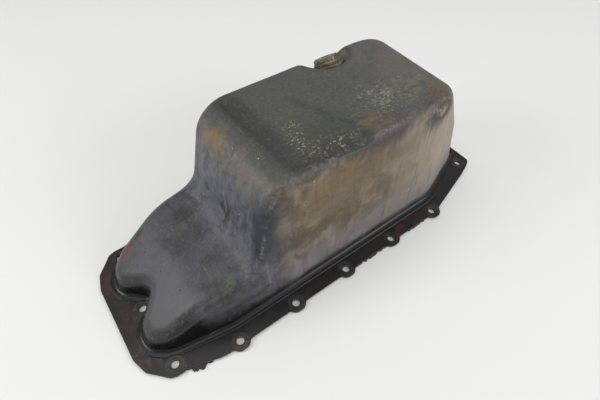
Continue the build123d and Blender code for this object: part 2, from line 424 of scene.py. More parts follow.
drain = {
    "centre": (69.0, 46.5, 139.04),
    "tilt": 35.0,
    "flare": 38.0,
    "pocket": 17.5,
    "pocketCorner": 2.2,
    "lip": 2.5,
    "boss": 16.0,
    "bossProud": 3.0,
    "barrel": 14.0,
    "barrelDeep": 11.5,
    "thread": 11.0,
    "gap": 0.08,
    "pitch": 1.5,
    "threadDeep": 0.8,
    "threadSlope": 2.6,
    "threadFlat": 0.25,
    "threadClear": 0.02,
    "threadStart": 0.75,
    "runOut": 0.9,
    "runIn": 1.6,
    "plugRings": 62,
    "boreRings": 50,
    "boreCut": 0.75,
    "bossChamfer": 0.8,
    "ease": 0.5,
    "washer": 14.2,
    "washerThick": 1.5,
    "flange": 13.4,
    "flangeThick": 1.5,
    "flats": 22.0,
    "head": 6.0,
    "headCorner": 1.135,
    "headFlat": 0.97,
    "headChamfer": 30.0,
    "shank": 15.0,
}

flangeTop = pan["flangeLow"] + pan["sheet"]
landTop = flangeTop + pan["landRise"]
drainMiddle = np.array(drain["centre"])
drainAxis = np.array([0.0, sin(radians(drain["tilt"])), cos(radians(drain["tilt"]))])
steps = [pan["boltPitch"] * k for k in (-2, -1, 0, 1, 2)]
bolts = [(x, y) for x in steps for y in (-pan["boltSpan"], pan["boltSpan"])]
bolts += [(x, y * side) for x, y in (pan["frontBolt"], pan["rearBolt"]) for side in (-1, 1)]
bolts = np.array(bolts + [pan["notchBolt"]])


# half outline of the walls from the notch, closing in towards the rear from turnX
def wallCorners(turnX, endX):
    half = pan["wallHalf"]
    corners = [(pan["notchCorner"], 0)] + [(pan["toeFront"], y) for y in pan["toeSpan"]]
    corners += [pan["toeFlank"], (pan["cheekEnd"], half), (turnX, half)]
    return corners + [(endX, half - (endX - turnX) * tan(radians(pan["flankAngle"])))]


# the whole outline of the walls, its axis moved sideways by the offset
def wallLoop(turnX, endX, offset):
    corners, radii = bothSides(wallCorners(turnX, endX), pan["wallRadii"])
    return roundedLoop(corners, radii) + (0, offset)


overrun = 30.0
lowWalls = wallLoop(pan["flankStart"], pan["rearFoot"] + overrun, pan["offset"])
highWalls = wallLoop(pan["flankStartHigh"], pan["rearFoot"] + overrun, pan["offsetHigh"])
wallRise = pan["floorHigh"] + pan["rim"] - pan["flangeLow"]
footLoop = evenLoop(wallLoop(pan["flankStart"], pan["rearFoot"], pan["offset"]), 0.5)

# the side view, from below the flange over shelf and floor down the rear
lean = 1 / tan(radians(pan["rearSlope"]))
sideCorners = [
    *pan["shelfLine"],
    (pan["floorStart"], pan["floorHigh"]),
    (pan["floorEnd"], pan["floorLow"]),
    (pan["rearFoot"] - (pan["rearKnee"] - flangeTop) * lean, pan["rearKnee"]),
    (pan["rearFoot"] + (flangeTop + pan["below"]) * lean, -pan["below"]),
]
sideLoop = roundedLoop(sideCorners, pan["sideRadii"])

# depth below the skin of the side view, worked out once on a millimetre raster
rasterX, rasterZ = np.arange(*pan["rasterX"]), np.arange(*pan["rasterZ"])
gridX, gridZ = np.meshgrid(rasterX, rasterZ, indexing="ij")
sideDepths = insideDistance(np.stack([gridX.ravel(), gridZ.ravel()], 1), sideLoop).reshape(gridX.shape)


# the side view's depth at a point, between the four raster points round it
def sideDepth(x, z):
    u = np.clip(x - rasterX[0], 0, len(rasterX) - 1.001)
    v = np.clip(z - rasterZ[0], 0, len(rasterZ) - 1.001)
    i, j = u.astype(int), v.astype(int)
    u, v = u - i, v - j
    low = sideDepths[i, j] * (1 - u) + sideDepths[i + 1, j] * u
    high = sideDepths[i, j + 1] * (1 - u) + sideDepths[i + 1, j + 1] * u
    return low * (1 - v) + high * v


# height of the side view at x
def topHeight(x):
    order = np.argsort(sideLoop[:, 0])
    return np.interp(x, sideLoop[order, 0], sideLoop[order, 1])


# how far a point is outside the tool that presses the drain pocket: a flared cup on the axis
def pocketClearance(points):
    away = points - drainMiddle
    height = away @ drainAxis
    radius = np.linalg.norm(away - height[:, None] * drainAxis, axis=1)
    flare = radians(drain["flare"])
    inside = (drain["pocket"] + height * tan(flare) - radius) * cos(flare)
    return -roundedMeet(height, inside, drain["pocketCorner"])


# how far a point is outside the rounded bar that presses the valley
def valleyClearance(points):
    lift = pan["valleyRound"] - pan["valleyDepth"]
    drops = (pan["valleyDrop"], 0, pan["valleyDrop"])
    tilt = (pan["floorLow"] - pan["floorHigh"]) / (pan["floorEnd"] - pan["floorStart"])
    stops = [
        np.array([x, y, pan["floorHigh"] + (x - pan["floorStart"]) * tilt + lift - drop])
        for (x, y), drop in zip(pan["valley"], drops)
    ]
    best = np.inf
    for start, end in zip(stops, stops[1:]):
        along = end - start
        share = np.clip((points - start) @ along / (along @ along), 0, 1)
        best = np.minimum(best, np.linalg.norm(points - start - share[:, None] * along, axis=1))
    return best - pan["valleyRound"]


# depth below the walls at a height, from the depths in their low and their high outline
def wallDepth(up, low, high):
    return low + (high - low) * up / wallRise - up * tan(radians(pan["draft"]))


# depth below the skin of the drawn form: walls met with the side view, edge rounded,
# less the drain pocket and the valley
def skinDepth(x, y, z, low, high):
    wall = wallDepth(z - pan["flangeLow"], low, high)
    depth = roundedMeet(wall, sideDepth(x, z), pan["rim"])
    points = np.stack([x, y, z], 1)
    depth = roundedMeet(depth, pocketClearance(points), drain["lip"])
    return roundedMeet(depth, valleyClearance(points), pan["valleyLip"])


# how the pan's skin is divided into columns and rows, and how far each stretch reaches
skin = {
    "column": 2.5,
    "columnTurn": 9.0,
    "pathPoints": 161,
    "drainReach": 24.0,
    "drainFiner": 0.9,
    "step": ((0.55, -0.03), (0.35, 0.0), (0.1, 0.2), (-0.1, 0.75), (-0.4, 0.97), (-0.8, 1.0)),
    "rootRows": 9,
    "wallRows": 14,
    "rimRows": 12,
    "topRows": 32,
    "aboveRoot": 0.8,
    "belowTop": 9.0,
    "rimReach": 13.5,
    "rearFrom": 1.2,
    "rearWall": 28.0,
    "rearRim": 34.0,
    "rearFacing": (0.45, 0.95),
    "tallest": 165.0,
    "halvings": 26,
    # rows of the land step's corner and their edge value, which gets rubbed grey and a painted highlight
    # line
    "cornerRows": (3, 5),
    "cornerWearAndHighlight": 1.25,
    # how far the painted shade reaches from the valley, and the darkening from the drain pocket
    "valleyShadeReach": 5.0,
    "pocketDarkReach": 7.0,
}


# height of the skin above points of the plan, by halving
def skinHeight(x, y):
    plan = np.stack([x, y], 1)
    low, high = insideDistance(plan, lowWalls), insideDistance(plan, highWalls)
    bottom, top = np.full(len(x), 0.0), np.full(len(x), skin["tallest"])
    for _ in range(skin["halvings"]):
        middle = (bottom + top) / 2
        inside = skinDepth(x, y, middle, low, high) > 0
        bottom, top = np.where(inside, middle, bottom), np.where(inside, top, middle)
    return bottom, low, high


# distance outwards from a foot point to where a bolt seat begins
def seatDistance(points, inward):
    along = -quarter(inward)
    nearest = np.full(len(points), np.inf)
    for bolt in bolts:
        away = bolt - points
        across, out = (away * along).sum(1), -(away * inward).sum(1)
        chord = np.sqrt(np.maximum(pan["boltSeat"] ** 2 - across ** 2, 0))
        entry = np.where((np.abs(across) < pan["boltSeat"]) & (out > 0), out - chord, np.inf)
        nearest = np.minimum(nearest, entry)
    return nearest


# The pan's skin is one grid. A column starts outside the foot of the wall, steps up on to the
# land, follows the root's arc, climbs the wall, goes round the rim and runs to the spine.
# Columns are evenly spaced along the skin's own side view, so that steep fronts get enough, and
# closer beside the drain. The other side's columns are their mirror image.
def panGrid():
    fromAxis = np.where(footLoop[:, 0] < 0, np.abs(footLoop[:, 1] - pan["offset"]), np.inf)
    loop = np.roll(footLoop, -np.argmin(fromAxis), 0)
    loop = loop[:np.argmax((loop[:, 1] < pan["offset"]) & (loop[:, 0] > 0))]
    loop[0, 1] = loop[-1, 1] = pan["offset"]
    tall = topHeight(loop[:, 0])
    steps3d = np.sqrt((np.diff(loop, axis=0) ** 2).sum(1) + np.diff(tall) ** 2)
    near = np.exp(-((loop[1:, 0] - drain["centre"][0]) / skin["drainReach"]) ** 4)
    lengths = np.r_[0, np.cumsum(steps3d * (1 + skin["drainFiner"] * near))]
    places = np.linspace(0, lengths[-1], int(lengths[-1] / skin["column"]))
    foot = np.stack([np.interp(places, lengths, loop[:, k]) for k in (0, 1)], 1)
    along = np.gradient(foot, axis=0)
    along[0], along[-1] = (0, 1), (0, -1)
    inward = quarter(along / np.linalg.norm(along, axis=1)[:, None])
    return [
        panColumns(foot * (1, side) + (0, (1 - side) * pan["offset"]), inward * (1, side))
        for side in (1, -1)
    ]


# A column leaves the foot squarely and bends to the spine: a quadratic curve whose middle
# point lies straight in from the foot, so that neighbours never cross.
def columnPaths(foot, inward, spine):
    share = np.linspace(0, 1, skin["pathPoints"])[:, None, None]
    middle = foot + skin["columnTurn"] * inward
    paths = (1 - share) ** 2 * foot + 2 * share * (1 - share) * middle + share ** 2 * spine
    steps = np.linalg.norm(np.diff(paths, axis=0), axis=2)
    return paths, np.vstack([np.zeros(len(foot)), np.cumsum(steps, 0)])


# Rows of the skin over the columns of one side. Each row is a distance in from the foot, and its
# height comes from the step, the root's arc or the drawn form. Columns that face the rear climb
# a slope, so their rows reach further in.
def panColumns(foot, inward):
    rear = smoothStep(-inward[:, 0], *skin["rearFacing"])
    leanAngle = radians(pan["draft"]) * (1 - rear) + radians(90 - pan["rearSlope"]) * rear
    entry = seatDistance(foot, inward)
    land = np.clip(entry, pan["landLeast"], pan["land"])
    rows, heights = [], []
    # the step: distances outside the land and shares of its rise
    for out, share in skin["step"]:
        rows.append(-(land + out))
        heights.append(np.full(len(foot), flangeTop + pan["landRise"] * share))
    # the root's arc, tangent to the land and to the leaning wall
    reach = pan["root"] * np.tan((pi / 2 - leanAngle) / 2)
    for share in np.linspace(0, 1, skin["rootRows"]):
        turn = share * (pi / 2 - leanAngle)
        rows.append(-reach + pan["root"] * np.sin(turn) + pan["landRise"] * np.tan(leanAngle))
        heights.append(landTop + pan["root"] * (1 - np.cos(turn)))
    direct = len(rows)
    # the wall, the rim and the top: distances in from the foot
    spine = np.stack([np.clip(foot[:, 0], pan["spineFront"], pan["spineRear"]), 0 * rear + pan["offset"]], 1)
    paths, lengths = columnPaths(foot, inward, spine)
    span = lengths[-1]
    firstUp = landTop + pan["root"] + skin["aboveRoot"]
    lastUp = np.maximum(topHeight(foot[:, 0]) - skin["belowTop"], firstUp + 1)
    slant = tan(radians(pan["draft"]))
    for share in np.linspace(0, 1, skin["wallRows"]):
        up = firstUp + (lastUp - firstUp) * share - pan["flangeLow"]
        rows.append(up * slant * (1 - rear) + (skin["rearFrom"] + skin["rearWall"] * share) * rear)
    wallEnd = rows[-1]
    for share in np.linspace(0, 1, skin["rimRows"] + 1)[1:]:
        side = wallEnd + skin["rimReach"] * (1 - cos(share * pi / 2))
        rows.append(side * (1 - rear) + (wallEnd + skin["rearRim"] * share) * rear)
    rimEnd = rows[-1]
    for share in np.linspace(0, 1, skin["topRows"] + 1)[1:]:
        rows.append(rimEnd + (span - rimEnd) * share)
    away = np.array(rows)
    spots = foot + away[..., None] * inward
    for k in range(len(foot)):
        for axis in (0, 1):
            spots[direct:, k, axis] = np.interp(away[direct:, k], lengths[:, k], paths[:, k, axis])
    spots[-1] = spine
    plan = spots[direct:].reshape(-1, 2)
    high, low, upper = skinHeight(plan[:, 0], plan[:, 1])
    high = np.maximum(high, np.tile(heights[-1], len(rows) - direct))  # never below the root
    z = np.vstack([np.array(heights), high.reshape(-1, len(foot))])
    # how much a vertex is on a rounded edge: both depths are small there
    first = np.clip(pan["rim"] - wallDepth(high - pan["flangeLow"], low, upper), 0, None)
    second = np.clip(pan["rim"] - sideDepth(plan[:, 0], high), 0, None)
    edge = 2 * np.minimum(first, second) / np.maximum(np.hypot(first, second), 1e-6)
    stepEdge = np.zeros((direct, len(foot)))
    # the land step's corner is rubbed and carries a painted highlight line
    stepEdge[slice(*skin["cornerRows"])] = skin["cornerWearAndHighlight"]
    edge = np.vstack([stepEdge, edge.reshape(-1, len(foot))])
    points = np.concatenate([spots, z[..., None]], -1).reshape(-1, 3)
    # fields for the painted shade along the valley and for the darker drain pocket
    valley = np.exp(-np.clip(valleyClearance(points) / skin["valleyShadeReach"], 0, None) ** 2)
    pocket = smoothStep(pocketClearance(points), skin["pocketDarkReach"], 0.0)
    fields = {"edge": edge, "valley": valley.reshape(z.shape), "pocket": pocket.reshape(z.shape)}
    return spots, z, fields


# the skin of both sides as one closed band of columns, thickened inwards to a sheet
def buildPan():
    (spots, z, fields), (otherSpots, otherZ, otherFields) = panGrid()
    back = slice(-2, 0, -1)  # the other side's columns from rear to front, without the shared two
    spots = np.concatenate([spots, otherSpots[:, back]], 1)
    z = np.concatenate([z, otherZ[:, back]], 1)
    fields = {
        key: np.concatenate([values, otherFields[key][:, back]], 1).ravel()
        for key, values in fields.items()
    }
    verts = np.concatenate([spots, z[..., None]], -1).reshape(-1, 3)
    piece = makeMesh("pan_shell", verts, gridFaces(*z.shape)[:, ::-1], fields)
    for _ in ("outside", "inside"):
        piece.data.materials.append(None)
    addField(piece.data, "up", "POINT", vectors(piece.data.vertices, "normal")[:, 2])
    shell = piece.modifiers.new("sheet", "SOLIDIFY")
    shell.thickness = pan["sheet"] * metre
    shell.offset = -1
    shell.material_offset = 1
    smooth(piece)
    piece.data = finalMesh(piece)
    piece.modifiers.clear()
    return piece


flangeCorners = [
    (pan["flangeFront"], 40), (-204, 57), (-188, 73.5), (-170, 75.5),
    (-142, pan["boltSpan"] + pan["edgeBeyondRow"]), (122, pan["boltSpan"] + pan["edgeBeyondRow"]),
    (134, 82), (195, 63.5), (pan["flangeRear"], 53.8),
]
flangeRadii = [30, 6, 6, 20, 40, 6, 20, 20, 7]


# The flange's edge with its ears: along each outward direction the edge moves out to the
# circle about the bolt, and a smooth maximum of that move and 0 rounds the hollow beside it.
def flangeEdge(step):
    loop = evenLoop(roundedLoop(*bothSides(flangeCorners, flangeRadii)), step)
    inward = inwards(loop)
    along = -quarter(inward)
    move = np.zeros(len(loop))
    for bolt in bolts[:-1]:
        away = loop - bolt
        across, deep = np.abs((away * along).sum(1)), -(away * inward).sum(1)
        arc = np.sqrt(np.maximum(pan["ear"] ** 2 - across ** 2, 0))
        beside = -deep - pan["earSlope"] * (across - pan["ear"])
        reach = np.where(across < pan["ear"], arc - deep, beside)
        near = np.linalg.norm(away, axis=1) < pan["earReach"]
        bump = (reach + np.sqrt(reach ** 2 + pan["earBlend"] ** 2)) / 2 - pan["edgeInset"]
        move = np.where(near, np.maximum(move, np.clip(bump, 0, None)), move)
    return insideBox(loop - inward * move[:, None], pan["edgeInset"])


# an outline kept inside the whole object's box by a margin
def insideBox(loop, margin):
    low, high = (np.array(corner[:2]) / metre for corner in cadBox)
    return np.clip(loop, low + margin, high - margin)


# points round a middle; a wobble of two waves makes the hole look torn
def circle(middle, radius, count=40, wobble=0.0):
    angles = np.linspace(0, 2 * pi, count, endpoint=False)
    reach = radius + wobble * (np.sin(3 * angles + middle[0]) + 0.6 * np.sin(7 * angles + middle[1]))
    return np.array(middle) + reach[:, None] * np.stack([np.cos(angles), np.sin(angles)], 1)


# how much each face stands on edge: 0 level, 1 upright
def standing(mesh):
    return 1 - np.abs(vectors(mesh.polygons, "normal")[:, 2])


plate = {
    "bevelSteps": 2,
    "weld": 0.004,
    "sharp": 35,
    "level": 0.001,
}


# A flat plate with openings: closed outlines filled, given their thickness and a rounded rim,
# then joined to one closed skin.
def makePlate(name, outlines, low, thick, rounding):
    data = bpy.data.curves.new(name, "CURVE")
    data.dimensions = "2D"
    data.fill_mode = "BOTH"
    data.extrude = (thick / 2 - rounding) * metre
    data.bevel_depth = rounding * metre
    data.bevel_resolution = plate["bevelSteps"]
    data.offset = -rounding * metre
    for outline in outlines:
        line = data.splines.new("POLY")
        line.points.add(len(outline) - 1)
        flat = np.c_[outline * metre, np.zeros(len(outline)), np.ones(len(outline))]
        line.points.foreach_set("co", flat.ravel())
        line.use_cyclic_u = True
    drawn = placeObject(name + "_curve", data)
    mesh = finalMesh(drawn)
    bpy.data.objects.remove(drawn)
    mesh.name = name
    spots = vectors(mesh.vertices, "co") + (0, 0, (low + thick / 2) * metre)
    spots[:, :2] = np.clip(spots[:, :2], cadBox[0][:2], cadBox[1][:2])
    mesh.vertices.foreach_set("co", spots.ravel())
    weld = bmesh.new()
    weld.from_mesh(mesh)
    bmesh.ops.remove_doubles(weld, verts=weld.verts, dist=plate["weld"] * metre)
    bmesh.ops.recalc_face_normals(weld, faces=weld.faces)
    weld.to_mesh(mesh)
    weld.free()
    piece = placeObject(name, mesh)
    smooth(piece, plate["sharp"])
    mesh.polygons.foreach_set("use_smooth", standing(mesh) > plate["level"])  # flat faces stay flat
    return piece


# The flange's inner outline: that of the raised land round the walls, narrower beside a bolt's
# seat, with a lap under the land's step.
def landEdge():
    loop = evenLoop(footLoop, pan["landStep"])
    inward = inwards(loop)
    land = np.clip(seatDistance(loop, inward), pan["landLeast"], pan["land"])
    return loop - inward * (land - pan["landLap"])[:, None]


# a plate from the land's outline to the edge with its ears, with a hole for each bolt
def buildFlange():
    outlines = [flangeEdge(pan["edgeStep"]), landEdge()]
    outlines += [circle(bolt, pan["boltHole"]) for bolt in bolts]
    piece = makePlate("pan_flange", outlines, pan["flangeLow"], pan["sheet"], pan["edgeRound"])
    addField(piece.data, "side", "FACE", standing(piece.data))
    return piece


# the old gasket: the flange's outline worn back and bulging here and there, with torn tongues

gasket = {
    "thick": 1.8,
    "back": 0.5,
    "ragged": 0.35,
    "margin": 0.2,
    "step": 0.6,
    "holeSides": 28,
    "hole": 0.15,
    "holeWobble": 0.12,
    "rounding": 0.15,
    "tongues": ((-166, -76.5, 7, 3.4), (-158, -79.5, 6, 2.2), (32, -84.4, 24, 1.3), (96, -84.4, 14, 1.0)),
}


# A plate whose edge moves in and out by a sum of sine waves of its place, and further out at
# the tongues, where a bell curve of the distance is torn by more waves.
def buildGasket():
    edge = flangeEdge(gasket["step"])
    inward = inwards(edge)
    x, y = edge[:, 0], edge[:, 1]
    ragged = np.sin(x * 0.31 + 1.7 * np.sin(y * 0.23)) + 0.6 * np.sin(x * 1.13 + y * 0.9)
    ragged += 0.3 * np.sin(x * 1.9 - y * 1.7) * np.sin(x * 0.17 + 2)
    move = -gasket["back"] + gasket["ragged"] * ragged
    for tongueX, tongueY, width, reach in gasket["tongues"]:
        away = np.hypot(x - tongueX, y - tongueY) / width
        torn = 1 + 0.5 * np.sin(x * 0.6 + 2 * np.sin(x * 0.29))
        torn += 0.22 * np.sin(x * 1.4 + 2 * np.sin(x * 0.41))
        move += reach * torn * np.exp(-away ** 4)
    outer = insideBox(edge - inward * move[:, None], gasket["margin"])
    loop = evenLoop(footLoop, pan["landStep"])
    inner = loop - inwards(loop) * (pan["land"] / 2)
    hole = (pan["boltHole"] + gasket["hole"], gasket["holeSides"], gasket["holeWobble"])
    outlines = [outer, inner] + [circle(bolt, *hole) for bolt in bolts]
    return makePlate("gasket_ring", outlines, 0.0, gasket["thick"], gasket["rounding"])


# turned pieces: a profile of radius and height walked round the drain's axis

sideways = np.array([1.0, 0.0, 0.0])
across = np.cross(drainAxis, sideways)


# Each point of the profile makes a ring of points at its radius and height. A shape function
# may change radius and height by the angle. Edges over the sharp angle stay sharp.
def turned(name, profile, sharp, count=96, shape=None):
    profile = np.array(profile, float)
    angles = np.linspace(0, 2 * pi, count, endpoint=False)
    radius = np.repeat(profile[:, :1], count, 1)
    height = np.repeat(profile[:, 1:2], count, 1)
    if shape:
        radius, height = shape(radius, height, angles[None])
    verts = drainMiddle + radius[..., None] * (
        np.cos(angles)[None, :, None] * sideways + np.sin(angles)[None, :, None] * across
    ) + height[..., None] * drainAxis
    piece = makeMesh(name, verts.reshape(-1, 3), gridFaces(*radius.shape))
    smooth(piece, sharp)
    return piece


# a thread of 60 degrees: its depth is a saw with flats, over the height less the turn
def threadDepth(height, angles):
    phase = (height / drain["pitch"] - angles / (2 * pi)) % 1
    saw = np.abs(phase - 0.5) * drain["threadSlope"] - drain["threadFlat"]
    return drain["threadDeep"] * np.clip(saw, 0, 1)


# a ring with a barrel below it; the thread is cut outwards from the bore
def buildBoss():
    top, out, barrel = drain["bossProud"], drain["boss"], drain["barrel"]
    bore, low = drain["thread"] + drain["gap"], -drain["barrelDeep"]
    chamfer, ease, sunk = drain["bossChamfer"], drain["ease"], 0.2 * drain["ease"]
    rows = [(barrel - chamfer, low), (barrel, low + chamfer), (barrel, -sunk), (out - sunk, -sunk)]
    rows += [(out, sunk), (out, top - ease), (out - 0.3 * ease, top - 0.3 * ease), (out - ease, top)]
    rows += [(bore + chamfer, top), (bore, top - chamfer)]
    threaded = np.linspace(top - chamfer, low + 1.2 * ease, drain["boreRings"])
    rows += [(bore, z) for z in threaded[1:]]
    rows += [(bore + ease, low), (barrel - chamfer, low)]

    def cut(radius, height, angles):
        return radius + np.where(radius == bore, drain["boreCut"] - threadDepth(height, angles), 0), height

    return turned("boss_ring", rows, sharp=32, shape=cut)


# a flat ring with rounded edges
def buildWasher():
    low, thick = drain["bossProud"], drain["washerThick"]
    hole, out = drain["thread"] + 2 * drain["gap"], drain["washer"]
    ease, lip = drain["ease"], 0.4 * drain["ease"]
    rows = [(hole, low + lip), (hole + lip, low), (out - ease, low), (out - 0.2 * ease, low + 0.5 * ease)]
    rows += [(out, low + thick / 2), (out - 0.2 * ease, low + thick - 0.5 * ease)]
    rows += [(out - ease, low + thick), (hole + lip, low + thick), (hole, low + thick - lip)]
    return turned("washer_ring", rows + rows[:1], sharp=40)


# the plug's profile: radius and height of its points from where each stretch of it begins
plugRows = {
    "tip": ((-11.0, 0.0), (-1.6, 0.0), (-0.9, 0.7)),
    "neck": ((-1.2, -1.2), (-1.2, 0.0)),
    "underside": ((-0.3, 0.0), (0.0, 0.3)),
    "flange": ((0.0, -0.5), (-0.2, -0.15), (-0.6, 0.0)),
    "headFoot": ((-1.0, 0.02), (-1.0, 0.3)),
    "headTop": ((-1.0, -1.6), (-1.0, 0.0), (-0.97, 0.0), (-0.9, 0.0), (-0.8, 0.0)),
    "dish": ((4.5, 0.0), (4.0, -0.1), (3.4, -0.5), (3.2, -0.7), (0.0, -0.75)),
}


# A hexagon head with chamfered corners on a flange, and a threaded shank. The head's radius is
# that of a hexagon cut at its corners, and its top falls away beyond the flats. A profile radius
# under 0 is a share of the hexagon's.
def buildPlug():
    seat = drain["bossProud"] + drain["washerThick"]
    flange, rim, top = drain["flange"], seat + drain["flangeThick"], seat + drain["head"]
    flat, bolt = drain["flats"] / 2, drain["thread"]
    low = seat - drain["shank"]
    chamferLow = top + plugRows["headTop"][0][1]

    def stretch(name, radius, height):
        return [(radius + r, height + z) for r, z in plugRows[name]]

    rows = stretch("tip", bolt, low)
    threaded = np.linspace(low + drain["runOut"], seat - drain["runIn"], drain["plugRings"])
    rows += [(bolt, z) for z in threaded]
    rows += stretch("neck", bolt, seat) + stretch("underside", flange, seat)
    rows += stretch("flange", flange, rim) + stretch("headFoot", 0, rim)
    rows += stretch("headTop", 0, top) + stretch("dish", 0, top)

    def shape(radius, height, angles):
        hexagon = flat / np.cos((angles + pi / 6) % (pi / 3) - pi / 6)
        hexagon = np.minimum(hexagon, flat * drain["headCorner"])
        head = radius < 0
        out = np.where(head, -radius * hexagon, radius)
        fall = np.clip(out - flat * drain["headFlat"], 0, None) * tan(radians(drain["headChamfer"]))
        high = np.where(head & (height >= chamferLow), np.minimum(height, top - fall), height)
        high = np.where(head & (height == chamferLow), top - fall - 0.05, high)
        cut = drain["threadClear"] + threadDepth(height + drain["threadStart"], angles)
        return out - np.where(radius == bolt, cut, 0), high

    return turned("plug_body", rows, sharp=28, count=120, shape=shape)


shell = buildPan()
flange = buildFlange()
print("pan built:", len(shell.data.polygons), "and", len(flange.data.polygons), "faces")
ring = buildGasket()
boss, washer, plug = buildBoss(), buildWasher(), buildPlug()
print("gasket, boss, washer and plug built")


# colours of the enamel, the stains, the oil, the rubber and bare metal, 0 to 255 as seen on screen

paint = {
    "charcoal": (68, 68, 71),
    "charcoalDark": (46, 45, 48),
    # lilac tint, on faces that look up partly a painted sheen
    "lilacTintAndSheen": (66, 64, 71),
    "blueGrey": (84, 85, 92),
    "blueDark": (36, 40, 49),
    "floorGrey": (66, 67, 61),
    "floorPale": (84, 82, 76),
    "floorGreen": (50, 57, 47),
    # dark crease colour, laid as painted shade along the valley and the second crease
    "creaseShade": (40, 42, 40),
    "ochre": (112, 97, 74),
    "orange": (118, 94, 64),
    "umber": (78, 66, 50),
    "umberWarm": (92, 75, 53),
    "tan": (152, 140, 122),
    "mauve": (130, 125, 127),
    "plum": (70, 62, 60),
    "rust": (108, 56, 40),
    "moss": (76, 88, 58),
    "lichen": (102, 104, 88),
    # near-black: the flange's darkest enamel, and on the pan painted shade at the walls' foot and a painted
    # reflection on the toes' sides
    "root": (18, 16, 17),
    "flange": (28, 24, 24),
    "maroon": (70, 36, 36),
    # dust, also laid as a painted highlight on rubbed edges and on the flange's cut edge
    "dustAndHighlight": (150, 146, 138),
    "fleck": (190, 188, 182),
    "sand": (160, 136, 94),
    "pit": (26, 24, 24),
    "oilBrown": (58, 53, 48),
    "oilPale": (82, 74, 64),
    "oilRun": (40, 32, 24),
    "oilDeep": (34, 26, 19),
    "oilSpeck": (104, 88, 66),
    "rubber": (28, 27, 27),
    "rubberPale": (52, 50, 48),
    "rubberDust": (92, 88, 82),
    "rubberPit": (18, 17, 17),
    "bright": (178, 168, 148),
}
paint = {name: tone(*colour) for name, colour in paint.items()}

# middle and reach of each stain's spots
bowlStains = {
    "hollow": [((-72, -58, 104), (30, 30, 50))],
    "ochre": [((2, -62, 106), (84, 40, 62)), ((-56, -30, 138), (30, 44, 24))],
    "ochreFar": [((-64, 22, 140), (24, 40, 26))],
    "hot": [((4, -62, 124), (60, 30, 24)), ((-63, 26, 142), (13, 24, 16))],
    "drip": [
        ((100, -60, 126), (9, 30, 30)), ((56, -60, 138), (30, 24, 15)), ((98, -54, 146), (34, 18, 13)),
    ],
    "green": [((0, -34, 150), (60, 36, 40))],
    "shade": [((40, 20, 150), (60, 40, 40))],
    "bruise": [((58, -54, 147), (44, 22, 24)), ((112, -52, 140), (26, 22, 34))],
    "patch": [((120, -40, 147), (24, 24, 18)), ((42, -42, 150), (30, 18, 12))],
    "moist": [((92, -22, 148), (46, 30, 20))],
    "rubbed": [((70, -26, 150), (40, 34, 20))],
    "crumbs": [((-20, -24, 150), (13, 34, 14)), ((0, -44, 150), (30, 13, 14))],
    "rust": [((-172, 50, 30), (36, 18, 28))],
    "moss": [((-112, -52, 56), (22, 12, 16)), ((-112, 20, 58), (16, 12, 12))],
    "blot": [((-122, -8, 56), (18, 18, 14)), ((-92, -60, 50), (20, 8, 12))],
}
flangeStains = {
    "maroonFar": [((-191, 40, 3), (26, 34, 20))],
    "maroonFront": [((-194, -6, 3), (14, 24, 10))],
    "maroonNear": [((81, -74, 3), (36, 12, 10))],
    "brown": [((-196, -48, 3), (26, 30, 20))],
}


